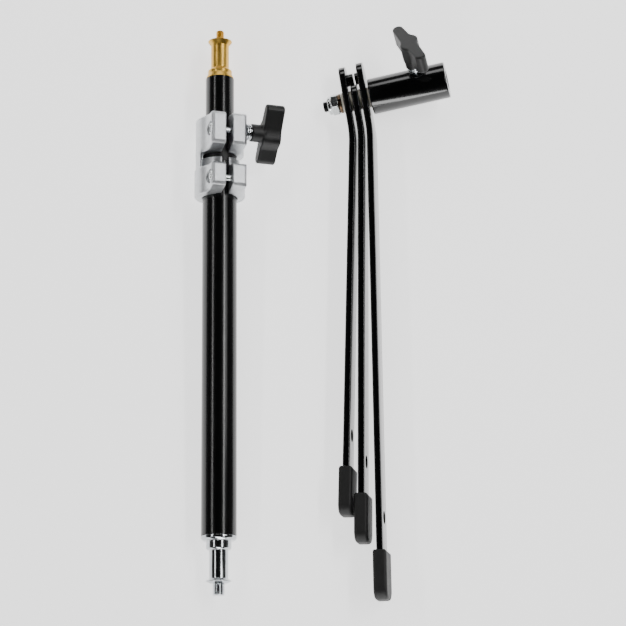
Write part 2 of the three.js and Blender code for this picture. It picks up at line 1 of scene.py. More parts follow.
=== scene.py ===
import json
import math
import bpy
import numpy as np
import openvdb
from mathutils import Matrix


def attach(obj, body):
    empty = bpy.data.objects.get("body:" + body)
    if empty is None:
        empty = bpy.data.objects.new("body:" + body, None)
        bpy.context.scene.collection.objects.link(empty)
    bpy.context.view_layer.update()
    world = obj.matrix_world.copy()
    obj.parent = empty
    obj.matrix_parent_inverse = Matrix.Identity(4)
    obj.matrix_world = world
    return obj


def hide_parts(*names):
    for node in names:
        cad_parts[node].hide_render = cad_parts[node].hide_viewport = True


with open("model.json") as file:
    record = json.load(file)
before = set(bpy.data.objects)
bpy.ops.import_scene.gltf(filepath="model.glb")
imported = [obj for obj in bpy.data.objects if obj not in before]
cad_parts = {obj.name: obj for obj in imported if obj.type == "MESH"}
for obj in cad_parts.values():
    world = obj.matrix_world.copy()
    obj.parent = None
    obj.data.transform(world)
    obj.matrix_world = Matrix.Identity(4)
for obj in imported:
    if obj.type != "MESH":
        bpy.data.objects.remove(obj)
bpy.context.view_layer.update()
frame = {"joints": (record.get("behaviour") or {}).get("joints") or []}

# ---------------------------------------------------------------- places
# Shapes are made in millimetres in two drawing frames, one for the column and
# one for the leg base, and set down where the joints of the frame say.
JOINT = {j["name"]: j for j in frame["joints"]}


def unit(v):
    v = np.array(v, float)
    return v / np.linalg.norm(v)


def sub_place(place, at, x, y):
    """A frame inside another one: origin at a point of it, X and Y along two of its directions."""
    origin, axes = place
    x, y = unit(x), unit(y)
    own = np.stack([x, y, np.cross(x, y)])
    return origin + np.array(at, float) / 1000 @ axes, own @ axes


RISER_TOP = 403.4   # height of the riser's top edge above the outer tube's low end
up = unit(JOINT["riser_extend"]["axis"])
knob_out = unit(JOINT["clamp_knob_turn"]["axis"])
COLUMN = (np.array(JOINT["riser_spin"]["pos_m"]) - RISER_TOP / 1000 * up,
          np.stack([knob_out, up, np.cross(knob_out, up)]))

STACK_MID = 12.95   # middle leg's centre below the socket's low end
LEAN = math.radians(57)
e = unit(JOINT["middle_leg_turn"]["axis"])
screw_out = unit(JOINT["socket_knob_turn"]["axis"])
side = np.cross(e, screw_out)
BASE = (np.array(JOINT["middle_leg_turn"]["pos_m"]) + STACK_MID / 1000 * e,
        np.stack([e, math.cos(LEAN) * screw_out - math.sin(LEAN) * side,
                  math.sin(LEAN) * screw_out + math.cos(LEAN) * side]))
TURNED_BASE = sub_place(BASE, (0, 0, 0), (0, 0, 1), (1, 0, 0))   # its Y is the pivot axis

# ---------------------------------------------------------------- camera and stage
# Straight above the middle, leaning 15 degrees towards the feet, with a long lens.
VIEW_UP, VIEW_ROLL, VIEW_FAR = math.radians(74.92), math.radians(0.37), 1.6666
AIM = np.array([-0.0082, -0.0047, 0.015])
back = np.array([0, -math.cos(VIEW_UP), math.sin(VIEW_UP)])
level = np.array([1.0, 0, 0])
raised = np.cross(back, level)
right = math.cos(VIEW_ROLL) * level + math.sin(VIEW_ROLL) * raised


def stood(at, columns):
    """Matrix of something that stands at a point, with these columns as its axes."""
    return Matrix([[*row, a] for row, a in zip(columns, at)] + [[0, 0, 0, 1]])


def linear(code):
    """sRGB hex to linear colour."""
    s = np.array([int(code[i:i + 2], 16) for i in (1, 3, 5)]) / 255
    return (*np.where(s <= 0.04045, s / 12.92, ((s + 0.055) / 1.055) ** 2.4).tolist(), 1.0)


def add(tree, kind, inputs=None, **settings):
    """One shader node with its settings, and its inputs set or linked."""
    made = tree.nodes.new(kind)
    for key, value in settings.items():
        setattr(made, key, value)
    for key, value in (inputs or {}).items():
        if isinstance(value, bpy.types.NodeSocket):
            tree.links.new(value, made.inputs[key])
        else:
            made.inputs[key].default_value = value
    return made


lens = bpy.data.cameras.new("camera")
lens.lens, lens.sensor_width = 111.4, 36
camera = bpy.data.objects.new("camera", lens)
turn = np.stack([right, np.cross(back, right), back], 1)
camera.matrix_world = stood(AIM + VIEW_FAR * back, turn)
bpy.context.scene.collection.objects.link(camera)
bpy.context.scene.camera = camera

floor_mesh = bpy.data.meshes.new("floor")
floor_mesh.from_pydata([(-6, -6, 0), (6, -6, 0), (6, 6, 0), (-6, 6, 0)], [], [(0, 1, 2, 3)])
floor = bpy.data.objects.new("floor", floor_mesh)
bpy.context.scene.collection.objects.link(floor)
white = bpy.data.materials.new("white sweep")
white.use_nodes = True
white.node_tree.nodes["Principled BSDF"].inputs["Base Color"].default_value = linear("#fafafa")
white.node_tree.nodes["Principled BSDF"].inputs["Roughness"].default_value = 0.9
white.node_tree.nodes["Principled BSDF"].inputs["Emission Color"].default_value = linear("#ffffff")
white.node_tree.nodes["Principled BSDF"].inputs["Emission Strength"].default_value = 1.5
floor_mesh.materials.append(white)

# Studio: a bright band along the horizon that fades to a dark ceiling.
world = bpy.data.worlds.new("studio")
bpy.context.scene.world = world
world.use_nodes = True
sky = world.node_tree
height = add(sky, "ShaderNodeSeparateXYZ", {
    "Vector": add(sky, "ShaderNodeTexCoord").outputs["Generated"]}).outputs["Z"]
glow = add(sky, "ShaderNodeMapRange", {
    "Value": height, "From Min": 0.08, "From Max": 0.5, "To Min": 1.9, "To Max": 0.05},
    interpolation_type="SMOOTHSTEP")
sky.links.new(glow.outputs["Result"], sky.nodes["Background"].inputs["Strength"])


def soft_box(name, at, size, power):
    """Rectangular lamp at a point, aimed at the middle of the stand."""
    lamp = bpy.data.lights.new(name, "AREA")
    lamp.shape, lamp.size, lamp.size_y, lamp.energy = "RECTANGLE", size[0], size[1], power
    made = bpy.data.objects.new(name, lamp)
    z = unit(at)
    x = unit(np.cross((0, 1, 0.001), z))
    made.matrix_world = stood(at, np.stack([x, np.cross(z, x), z], 1))
    bpy.context.scene.collection.objects.link(made)


soft_box("strip left", (-1.4, 0.35, 1.5), (0.12, 2.2), 9)
soft_box("strip right", (1.2, 0.35, 1.9), (0.16, 2.2), 16)
soft_box("over the ears", (1.5, 0.6, 1.8), (1.0, 1.0), 8)
soft_box("front", (0.3, -2.4, 0.32), (3.0, 0.5), 46)
soft_box("behind", (0.0, 2.2, 1.6), (2.4, 0.8), 20)

# ---------------------------------------------------------------- outer tube
# Column's outer tube: 30 mm black anodised aluminium, drawn, both ends broken by hand.
TUBE_R, TUBE_BORE, TUBE_TOP = 15.0, 13.8, 324.4


# A shell is (points, triangles, quads, corner map); the map is None for moulded shapes.
def rounded(corners, closed):
    """Polyline with every corner cut by a curve: for a corner P with rounding f the curve is the
    quadratic through P + f towards each neighbour, held to under half of each side."""
    c = np.array([(p + (0.15,))[:3] for p in corners], float)
    p, f = c[:, :2], c[:, 2:]
    before, after = np.roll(p, 1, 0), np.roll(p, -1, 0)
    run_a, run_b = before - p, after - p
    la, lb = (np.linalg.norm(r, axis=1, keepdims=True) + 1e-9 for r in (run_a, run_b))
    f = np.minimum(f, 0.45 * np.minimum(la, lb))
    a, b = p + run_a / la * f, p + run_b / lb * f
    s = np.linspace(0, 1, 5)[None, :, None]
    curve = (1 - s) ** 2 * a[:, None] + 2 * s * (1 - s) * p[:, None] + s ** 2 * b[:, None]
    if not closed:
        curve[0], curve[-1] = p[0], p[-1]
    line = curve.reshape(-1, 2)
    step = np.linalg.norm(np.diff(line, axis=0), axis=1)
    return line[np.concatenate([[True], step > 1e-4])]


def sheet(points, closed_rows=False, ends=True):
    """Quads over a grid (rows, around, 3) that is closed around; the rows are closed too, or the two
    end rows are filled by a fan. The map is (share of the way round, distance along the rows)."""
    m, n, _ = points.shape
    i, j = np.meshgrid(np.arange(m if closed_rows else m - 1), np.arange(n), indexing="ij")
    k, l = (i + 1) % m, (j + 1) % n
    quads = np.stack([i * n + j, i * n + l, k * n + l, k * n + j], -1).reshape(-1, 4)
    run = np.concatenate([[0], np.cumsum(np.linalg.norm(
        np.diff(points[:, 0], axis=0), axis=1))])
    run = np.append(run, run[-1] + 1)
    corner = np.stack([np.stack([(j + dj) / n, run[i + di] / 1000], -1)
                       for di, dj in ((0, 0), (0, 1), (1, 1), (1, 0))], 2).reshape(-1, 4, 2)
    flat = points.reshape(-1, 3)
    tris = np.zeros((0, 3), int)
    if ends and not closed_rows:
        flat = np.concatenate([flat, points[:1].mean(1), points[-1:].mean(1)])
        ring = np.arange(n)
        low = np.stack([ring, np.full(n, m * n), (ring + 1) % n], -1)
        top = (m - 1) * n + np.stack([ring, (ring + 1) % n, np.full(n, n + 1)], -1)
        tris = np.concatenate([low, top])
    return flat, tris, quads, corner


def lathe(corners, closed=False, sides=96):
    """Profile of (radius, height, rounding) turned about Y: (r cos a, h, r sin a)."""
    line = rounded(corners, closed)
    a = np.linspace(0, 2 * np.pi, sides, endpoint=False)
    r, h = line[:, :1], line[:, 1:]
    return sheet(np.stack([r * np.cos(a), h + 0 * a, r * np.sin(a)], -1), closed)


def piece(name, shells, place, material, body, slot, *nodes, crease=32):
    """One named piece from closed shells: faces turned outward, set down in its place, shaded
    smooth but for edges sharper than the crease angle, and tied to its body of the frame."""
    points, faces, maps, base = [], [], [], 0
    for own, tris, quads, corner in shells:
        fan = np.concatenate([quads[:, [0, 1, 2]], quads[:, [0, 2, 3]], tris])
        p, q, r = (own[fan[:, k]] for k in range(3))
        if np.einsum("ij,ij->", p, np.cross(q, r)) < 0:
            tris, quads = tris[:, ::-1], quads[:, ::-1]
            corner = corner[:, ::-1] if corner is not None else None
        points.append(own)
        faces += (quads + base).tolist() + (tris + base).tolist()
        flat = np.zeros((len(quads) * 4 + len(tris) * 3, 2))
        if corner is not None:
            flat[:len(quads) * 4] = corner.reshape(-1, 2)
            flat[len(quads) * 4:, 1] = own[tris.ravel(), 1] / 1000
        maps.append(flat)
        base += len(own)
    origin, axes = place
    world = origin + np.concatenate(points) / 1000 @ axes
    mesh = bpy.data.meshes.new(name)
    mesh.from_pydata(world.tolist(), [], faces)
    mesh.uv_layers.new(name="turning").data.foreach_set("uv", np.concatenate(maps).ravel())
    mesh.shade_smooth()
    mesh.set_sharp_from_angle(angle=math.radians(crease))
    mesh.materials.append(material)
    made = bpy.data.objects.new(name, mesh)
    bpy.context.scene.collection.objects.link(made)
    if body:
        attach(made, body)
        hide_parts(*nodes)
    return made


def between(tree, factor, low, high):
    """Value that goes from low to high as the factor goes over the middle of its range."""
    return add(tree, "ShaderNodeMapRange", {
        "Value": factor, "From Min": 0.3, "From Max": 0.7, "To Min": low,
        "To Max": high}).outputs["Result"]


def finish(name, dark, light, rough, metallic=0.0, grain=0.4, depth=0.01, patch=18.0,
           stretch=(1, 1, 1), source="Object", coat=0.0):
    """Surface with colour and gloss that drift over patches, and a fine grain that is felt.
    grain, patch and depth are in millimetres; stretch makes the grain finer along an axis."""
    made = bpy.data.materials.new(name)
    made.use_nodes = True
    tree = made.node_tree
    tree.nodes.clear()
    where = add(tree, "ShaderNodeTexCoord").outputs
    broad = add(tree, "ShaderNodeTexNoise", {
        "Vector": where["Object"], "Scale": 1000 / patch, "Detail": 4.0, "Roughness": 0.6})
    lined = add(tree, "ShaderNodeMapping", {"Vector": where[source], "Scale": stretch})
    fine = add(tree, "ShaderNodeTexNoise", {
        "Vector": lined.outputs["Vector"], "Scale": 1000 / grain, "Detail": 3.0,
        "Roughness": 0.55})
    mixed = add(tree, "ShaderNodeMath", {0: broad.outputs["Fac"], 1: fine.outputs["Fac"]},
                operation="ADD")
    share = add(tree, "ShaderNodeMath", {0: mixed.outputs[0], 1: 0.5}, operation="MULTIPLY")
    tint = between(tree, share.outputs[0], 0.0, 1.0)
    colour = add(tree, "ShaderNodeMix", {0: tint, 6: linear(dark), 7: linear(light)},
                 data_type="RGBA")
    bump = add(tree, "ShaderNodeBump", {
        "Height": fine.outputs["Fac"], "Distance": depth / 1000, "Strength": 1.0})
    shader = add(tree, "ShaderNodeBsdfPrincipled", {
        "Base Color": colour.outputs[2], "Metallic": metallic,
        "Roughness": between(tree, share.outputs[0], *rough), "Coat Weight": coat,
        "Normal": bump.outputs["Normal"]})
    add(tree, "ShaderNodeOutputMaterial", {"Surface": shader.outputs["BSDF"]})
    return made


# Black anodised aluminium tube, glossy, with faint draw lines along it.
black_anodised = finish("black anodised", "#060607", "#0b0b0c", (0.17, 0.23), 0.0, 0.35,
                        0.0008, 30, (0.094, 0.02, 1), "UV")
piece("outer_tube_body", [lathe([
    (TUBE_BORE, 0, 0.3), (TUBE_R, 0, 0.3), (TUBE_R, TUBE_TOP, 0.3), (TUBE_BORE, TUBE_TOP, 0.3)],
    True)], COLUMN, black_anodised, "column", "black_anodised", "outer_tube")

# ---------------------------------------------------------------- base spigot
# Plug of the column: flange, neck, 5/8 inch stud, double-cone lip and screw tip.
# Turned from one steel bar and plated; pressed into the tube.
STUD_R, LIP_R = 7.95, 10.6


def screw(core, outer, low, high, pitch, sides=64, each=14):
    """Right-hand thread about Y: the radius is core plus the ridge height times a rounded triangle
    wave of (height / pitch - share of the way round), faded out in the last half pitch."""
    h = np.linspace(low, high, int((high - low) / pitch * each) + 2)[:, None]
    a = np.linspace(0, 2 * np.pi, sides, endpoint=False)[None, :]
    phase = (h / pitch - a / (2 * np.pi)) % 1
    ridge = np.clip(1.25 - 2.5 * np.abs(phase - 0.5) * 1.6, 0, 1)
    fade = np.clip(np.minimum(h - low, high - h) / (0.5 * pitch), 0, 1)
    r = core + (outer - core) * ridge * fade
    return sheet(np.stack([r * np.cos(a), h + 0 * a, r * np.sin(a)], -1))


# Turned and plated steel: mirror bright with tool rings.
bright_turned = finish("bright turned", "#a6a9ac", "#c6c9cc", (0.12, 0.2), 1.0, 0.45,
                       0.004, 12, (0.01, 1, 1), "UV")
piece("base_spigot_body", [
    lathe([(0, -41.5), (4, -41.5), (4, -39.8, 0.4), (6.6, -39.8, 0.3), (LIP_R, -38, 0.4),
           (LIP_R, -37.4, 0.4), (STUD_R, -35.8, 0.5), (STUD_R, -11.8, 0.5),
           (LIP_R - 1, -11.8, 0.4), (LIP_R, -10.6, 0.4), (LIP_R, -4.3, 0.4),
           (13.4, -4.3, 0.4), (15, -2.5, 0.5), (15, -0.3, 0.3), (13.5, -0.3, 0.2),
           (13.5, 14, 0.6), (0, 14)]),
    screw(4.5, 5.4, -49.5, -39.6, 2.2)],
    COLUMN, bright_turned, "column", "bright_turned", "base_spigot")

# ---------------------------------------------------------------- collar casting
# Two split clamps on one aluminium casting with a slot between them, drilled for the screws.
# Sand-soft edges; it is clamped on the outer tube.
RING_LOW, NECK_LOW, SLOT_LOW, TOP_LOW, RING_TOP = 294.0, 318.6, 327.4, 331.6, 364.2
LOW_SCREW, TOP_SCREW, SCREW_Z = 306.4, 349.7, 21.5
SPLIT, EAR_OUT, EAR_LEFT, EAR_RIGHT = 3.0, 29.0, 16.0, 16.2
NUT_FACE, HEAD_SEAT, WASHER_SEAT_R = -10.0, 10.9, 7.6   # the washer has a spot face
SLOPE_FROM, SLOPE_RUN, SLOPE_RISE = 14.0, 15.0, 4.5


def moulded(distance, low, high, cell):
    """Faces where a distance function of (x, y, z) is 0, found on a grid of cells over a box."""
    low, high = np.array(low, float), np.array(high, float)
    axes = [np.arange(a, b + cell, cell) for a, b in zip(low, high)]
    values = distance(*np.meshgrid(*axes, indexing="ij"))
    grid = openvdb.FloatGrid(4 * cell)
    grid.copyFromArray(np.clip(values, -4 * cell, 4 * cell).astype(np.float32))
    points, tris, quads = grid.convertToPolygons(0.0, 0.0)
    return low + points * cell, tris, quads, None


def soft_min(a, b, k):
    """Smaller of two distances, blended over a width k."""
    t = np.clip(0.5 + 0.5 * (b - a) / k, 0, 1)
    return b + (a - b) * t - k * t * (1 - t)


def soft_max(a, b, k):
    return -soft_min(-a, -b, k)


def slab(distance_2d, across, half, edge):
    """Outline pulled to a plate: distance to an outline and to |across| = half, with round edges."""
    a, b = distance_2d + edge, np.abs(across) - half + edge
    return np.minimum(np.maximum(a, b), 0) + np.hypot(np.maximum(a, 0), np.maximum(b, 0)) - edge


# Aluminium casting, shot-blasted: dull silver with a fine pebbled skin.
blasted_casting = finish("blasted casting", "#b2b4b6", "#dcdee0", (0.36, 0.5), 1.0, 0.55, 0.035, 9)


def ring_block(x, y, z, low, high, radius, edge):
    """Distance to a round drum between two heights, with round edges."""
    return slab(np.hypot(x, z) - radius, y - (low + high) / 2, (high - low) / 2, edge)


def chamfered(a, b, cut):
    """Larger of two distances, with the corner between the faces cut flat and barely rounded."""
    return soft_max(soft_max(a, b, 0.25), (a + b) / math.sqrt(2) + cut, 0.25)


def underside(y, z, low):
    """Distance to the plane under a clamp, which climbs on its way out to the front."""
    return ((low - y) * SLOPE_RUN + (z - SLOPE_FROM) * SLOPE_RISE) / math.hypot(SLOPE_RUN, SLOPE_RISE)


def ear_block(x, y, z, low, high):
    """Distance to the pair of ears: a block from the drum to the front face with chamfered
    edges, on the climbing underside."""
    side = np.maximum(-EAR_LEFT - x, x - EAR_RIGHT)
    ends = np.maximum(np.maximum(y - high, low - y), underside(y, z, low))
    front = z - EAR_OUT
    block = np.maximum(chamfered(side, front, 1.5), chamfered(ends, front, 1.5))
    return np.maximum(np.maximum(block, chamfered(side, ends, 0.9)), -z)


def collar(x, y, z):
    solid = 1e3
    for low, high, radius in ((RING_LOW, NECK_LOW, 22.0), (TOP_LOW, RING_TOP, 21.0)):
        clamp = soft_min(ring_block(x, y, z, low, high, radius, 1.4),
                         ear_block(x, y, z, low, high), 3.0)
        solid = np.minimum(solid, soft_max(clamp, underside(y, z, low), 0.5))
    solid = soft_min(solid, ring_block(x, y, z, NECK_LOW - 2, TOP_LOW + 2, 17.4, 0.5), 0.8)
    turned = x * math.sin(math.radians(70)) + z * math.cos(math.radians(70))
    spine = np.maximum(ring_block(x, y, z, NECK_LOW - 2, TOP_LOW + 2, 21.0, 0.5), turned + 16)
    solid = soft_min(solid, spine, 1.5)
    slot = np.maximum(np.abs(y - (SLOT_LOW + TOP_LOW) / 2) - (TOP_LOW - SLOT_LOW) / 2,
                      -16 - turned)
    solid = soft_max(solid, -slot, 0.6)
    solid = soft_max(solid, -np.maximum(np.abs(x) - SPLIT, 8 - z), 0.5)
    bore = np.where(y < TUBE_TOP + 0.3, 15.3, 14.7)
    solid = np.maximum(solid, bore - np.hypot(x, z))
    for at in (LOW_SCREW, TOP_SCREW):
        solid = np.maximum(solid, 3.3 - np.hypot(y - at, z - SCREW_Z))
        pocket = np.maximum(np.hypot(y - at, z - SCREW_Z) - 6.07, x - NUT_FACE)
        solid = soft_max(solid, -pocket, 0.4)
    head = np.maximum(np.hypot(y - LOW_SCREW, z - SCREW_Z) - 5.3, HEAD_SEAT - x)
    solid = soft_max(solid, -head, 0.4)
    seat = np.maximum(np.hypot(y - TOP_SCREW, z - SCREW_Z) - WASHER_SEAT_R, EAR_RIGHT - x)
    return soft_max(solid, -seat, 0.2)


piece("collar_casting_body", [moulded(collar, (-24, 292, -24), (24, 366, 31), 0.6)],
      COLUMN, blasted_casting, "column", "cast_aluminium", "collar_casting", crease=60)

# ---------------------------------------------------------------- bush and piston ring
# Black plastic sleeves: the guide bush stays in the collar, the ring and cap ride the riser.
# Black glass-filled nylon moulding with a spark-eroded texture.
black_plastic = finish("textured black plastic", "#060606", "#0d0d0d", (0.42, 0.52), 0.0, 0.5,
                       0.02, 10)
piece("guide_bush_body", [lathe([
    (12.8, 302.4), (13.5, 302.4), (13.5, 324.7), (14.4, 324.7), (14.4, 362.7, 0.3),
    (12.8, 362.7, 0.3)], True)], COLUMN, black_plastic, "column", "black_plastic", "guide_bush")
piece("riser_slider_body", [lathe([
    (12.8, 49.4), (13.5, 49.4, 0.4), (13.5, 69.4, 0.4), (12.8, 69.4)], True)],
    COLUMN, black_plastic, "piston_ring", "black_plastic", "riser_slider")
piece("riser_cap_body", [lathe([
    (0, 46.1), (12.9, 46.1, 0.5), (12.9, 49.1), (10.7, 49.1), (10.7, 61.1, 0.5), (0, 61.1)])],
    COLUMN, black_plastic, "riser", "black_plastic", "riser_cap")

# ---------------------------------------------------------------- riser tube
# Inner tube of the column, 25 mm black anodised aluminium.
piece("riser_tube_body", [lathe([
    (11, 50.4, 0.3), (12.5, 50.4, 0.3), (12.5, RISER_TOP, 0.3), (11, RISER_TOP, 0.3)],
    True)], COLUMN, black_anodised, "riser", "black_anodised", "riser_tube")

# ---------------------------------------------------------------- top spigot
# Brass end of the riser: cone, band, 5/8 inch stud, lip and thin threaded tip, all turned.
BRASS = RISER_TOP + 0.3
# Turned brass, bright, with tool rings.
turned_brass = finish("turned brass", "#c8983a", "#e6bd60", (0.3, 0.38), 1.0, 0.5,
                      0.001, 12, (0.01, 1, 1), "UV")
piece("top_spigot_body", [
    lathe([(0, 389.4), (10.7, 389.4), (10.7, BRASS), (12.5, BRASS, 0.4),
           (LIP_R, BRASS + 4.5, 0.3), (LIP_R, BRASS + 7.4, 0.4), (STUD_R, BRASS + 9.6, 0.4),
           (STUD_R, BRASS + 31.4, 0.5), (LIP_R, BRASS + 34.9, 0.4), (LIP_R, BRASS + 35.4, 0.4),
           (7, BRASS + 36.9, 0.3), (3.7, BRASS + 36.9, 0.2), (3, BRASS + 37.3), (3, BRASS + 45, 0.2),
           (2, BRASS + 45.7, 0.3), (0, BRASS + 45.7)]),
    screw(3.0, 3.6, BRASS + 37.2, BRASS + 45.2, 1.27, 40, 12)],
    COLUMN, turned_brass, "riser", "brass", "top_spigot")

# ---------------------------------------------------------------- collar screws
# Cap bolt with its nut in the lower clamp, and the nut for the knob in the upper one; zinc.
LOW_BOLT = sub_place(COLUMN, (0, LOW_SCREW, SCREW_Z), (0, 0, 1), (1, 0, 0))
TOP_BOLT = sub_place(COLUMN, (0, TOP_SCREW, SCREW_Z), (0, 0, 1), (1, 0, 0))


def hexagon(u, v, flats):
    third = math.pi / 3
    return np.maximum.reduce([np.abs(u * math.cos(t) + v * math.sin(t))
                              for t in (0, third, 2 * third)]) - flats / 2


# Bright zinc plate on steel.
zinc = finish("bright zinc", "#b6babb", "#d2d5d4", (0.18, 0.26), 1.0, 0.8, 0.003, 7)


def nut(x, y, z):
    """Hexagon plate with a hole and corners turned back at both faces."""
    body = np.maximum(hexagon(x, z, 10), np.abs(y + 12.8) - 2.5)
    body = soft_max(body, (np.hypot(x, z) + np.abs(y + 12.8) * 1.7 - 9.2) / 1.97, 0.2)
    return np.maximum(body, 3.3 - np.hypot(x, z))


bolt_shells = [
    lathe([(0, -16), (2.4, -16, 0.3), (3, -15.2), (3, 11.2), (5, 11.2, 0.2), (5, 15.3, 0.4),
           (4.4, 15.9, 0.3), (2.2, 15.9, 0.2), (2.2, 13.2), (0, 13.2)], sides=48)]
piece("collar_bolt_body", bolt_shells, LOW_BOLT, zinc, "column", "zinc_steel", "collar_bolt")
for where, name in ((LOW_BOLT, "collar_nut"), (TOP_BOLT, "clamp_nut")):
    piece(name + "_body", [moulded(nut, (-7, -16, -7), (7, -9, 7), 0.25)], where, zinc,
          "column", "zinc_steel", name)

# ---------------------------------------------------------------- knobs
# T-knobs: a moulded wing on a short hub, over a stepped ferrule pressed on a steel screw.
WING_TURN = math.radians(36)
CLAMP_WING, SOCKET_WING = (27.0, 9.6), (30.0, 8.5)   # half length, hub height


def wing(x, y, z, half, hub_height):
    """Wing along X: two tapering lobes and a slanted boss across the middle, pulled up from the
    hub to the flat top, on a round hub with a hole for the ferrule."""
    tip = half - 4.8
    reach = np.clip(np.abs(x) / tip, 0, 1)
    lobes = np.hypot(np.abs(x) - tip * reach, z) - (6.2 - 1.4 * reach)
    t = math.radians(40)
    along, across = x * math.cos(t) + z * math.sin(t), z * math.cos(t) - x * math.sin(t)
    boss = np.hypot(along - np.clip(along, -4.5, 4.5), across) - 6.3
    low = 3.4 + hub_height
    plate = slab(soft_min(lobes, boss, 4.0), y - low - 8.25, 8.25, 1.3)
    hub = slab(np.hypot(x, z) - 7.8, y - (5.4 + low) / 2, (low - 1.4) / 2, 0.5)
    whole = soft_min(plate, hub, 1.0)
    return soft_max(whole, np.minimum(4.6 - np.hypot(x, z), low - y), 0.2)


def knob(prefix, place, core, radius, length, size, body):
    """Both pieces of a knob that stands on y = 0 of its place."""
    half, hub = size
    piece(prefix + "_wing_body", [moulded(lambda x, y, z: wing(x, y, z, half, hub),
                                          (-half - 2, 2, -13), (half + 2, 21 + hub, 13), 0.45)], place,
          black_plastic, body, "black_plastic", prefix + "_wing", crease=50)
    piece(prefix + "_screw_body", [
        lathe([(0, -length), (core, -length, 0.3), (radius - 0.1, -length + 1.0), (core, 0),
               (6.6, 0, 0.4), (7.1, 0.5, 0.3), (7.1, 1.7, 0.3), (6.6, 2.0, 0.2), (6.6, 3.1, 0.2),
               (4.3, 3.1), (4.3, 2.1 + hub), (0, 2.1 + hub)], sides=64),
        screw(core, radius, -length + 0.6, 0.3, 1.25 if radius > 3 else 1.0, 48, 10)],
        place, bright_turned, body, "bright_turned", prefix + "_screw")


washer_at = sub_place(COLUMN, (EAR_RIGHT + 0.3, TOP_SCREW, SCREW_Z), (0, -1, 0), (1, 0, 0))
piece("clamp_washer_body", [lathe([(3.3, 0), (7.1, 0, 0.3), (7.1, 1.2, 0.3), (3.3, 1.2)], True)],
      washer_at, bright_turned, "thrust_washer", "bright_turned", "clamp_washer")
knob("clamp_knob", sub_place(COLUMN, (EAR_RIGHT + 1.8, TOP_SCREW, SCREW_Z),
                             (0, -math.cos(WING_TURN), -math.sin(WING_TURN)), (1, 0, 0)),
     2.5, 3.0, 33.0, CLAMP_WING, "clamp_knob")

# ---------------------------------------------------------------- socket
# Receiver of the base: 32 mm steel bar bored for a 5/8 inch stud, black enamel, drilled across
# for the set screw with its brass pad.
BORE, MOUTH, SCREW_X, SOCKET_R = 8.15, 69.0, 44.5, 16.0


def carve(made, shells, place, crease=32):
    """Cuts closed shells out of a piece that is already in place."""
    tool = piece("cutter", shells, place, made.data.materials[0], None, None)
    cut = made.modifiers.new("cut", "BOOLEAN")
    cut.object, cut.operation, cut.solver = tool, "DIFFERENCE", "EXACT"
    bpy.context.view_layer.update()
    done = bpy.data.meshes.new_from_object(
        made.evaluated_get(bpy.context.evaluated_depsgraph_get()))
    made.modifiers.clear()
    made.data = done
    done.name = made.name
    done.set_sharp_from_angle(angle=math.radians(crease))
    bpy.data.objects.remove(tool)


# Gloss black enamel baked on steel, with a slight orange peel.
black_enamel = finish("black enamel", "#060607", "#0a0a0b", (0.14, 0.19), 0.0, 3.0, 0.002, 25,
                      coat=0.3)
socket = piece("socket_tube_body", [lathe([
    (5.3, 0), (SOCKET_R, 0, 1.0), (SOCKET_R, MOUTH, 1.6), (BORE, MOUTH, 0.9), (BORE, 12, 1.0),
    (5.3, 12)], True, 128)], TURNED_BASE, black_enamel, "socket", "black_enamel", "socket_tube")
SET_SCREW = sub_place(BASE, (SCREW_X, 0, 0), (1, 0, 0), (0, math.cos(LEAN), math.sin(LEAN)))
carve(socket, [lathe([(0, 0), (4.3, 0), (4.3, 20), (0, 20)], sides=48)], SET_SCREW)
piece("socket_pad_body", [lathe([(0, 8.2), (3.6, 8.2, 0.3), (3.6, 10, 0.3), (0, 10)], sides=48)],
      SET_SCREW, turned_brass, "set_pad", "brass", "socket_pad")
TWIST = math.radians(-71)
knob("socket_knob", sub_place(
    SET_SCREW, (0, 19.2, 0), (math.cos(TWIST), 0, -math.sin(TWIST)), (0, 1, 0)),
    3.4, 4.0, 8.9, SOCKET_WING, "socket_knob")

# ---------------------------------------------------------------- legs
# Flat steel bars 23 x 5.7 mm with a half-round heel, one gentle bend and a foot hole,
# rounded edges, black enamel; two of them carry a round stop stud.
LEG_T, LEG_W, BEND_AT, STEP = 2.85, 11.5, 34.0, 7.9
STACK = {"top": -5.05, "mid": -5.05 - STEP, "low": -5.05 - 2 * STEP}
LEGS = {"top": (8.3, 409.9, 33.4, -3.2, "upper_leg"), "mid": (9.5, 361.0, 14.0, 0, "middle_leg"),
        "low": (10.5, 336.7, 32.7, 5.6, "lower_leg")}
STUD_AT, FOOT_LENGTH = 19.976, 41.0


def oblong(u, v, half_u, half_v, corner):
    """Distance to a rectangle with round corners."""
    a, b = np.abs(u) - half_u + corner, np.abs(v) - half_v + corner
    return np.minimum(np.maximum(a, b), 0) + np.hypot(np.maximum(a, 0), np.maximum(b, 0)) - corner


# Matt black rubber with a bloom.
rubber = finish("boot rubber", "#0d0d0d", "#171717", (0.5, 0.66), 0.0, 0.6, 0.02, 8)


def leg_line(bend, centre, s):
    """Points of a leg's centre line at distances s from the bend (heel negative), the angle there,
    and so the directions along and across the bar: straight, an 18 mm arc, straight."""
    a = math.radians(bend)
    angle = a * np.clip((s + 9) / 18, 0, 1)
    radius = 18 / a
    x = -radius * (1 - np.cos(angle)) - np.maximum(s - 9, 0) * math.sin(a)
    y = -BEND_AT - np.minimum(s + 9, 0) + 9 - radius * np.sin(angle) - np.maximum(
        s - 9, 0) * math.cos(a)
    return centre + x, y, angle


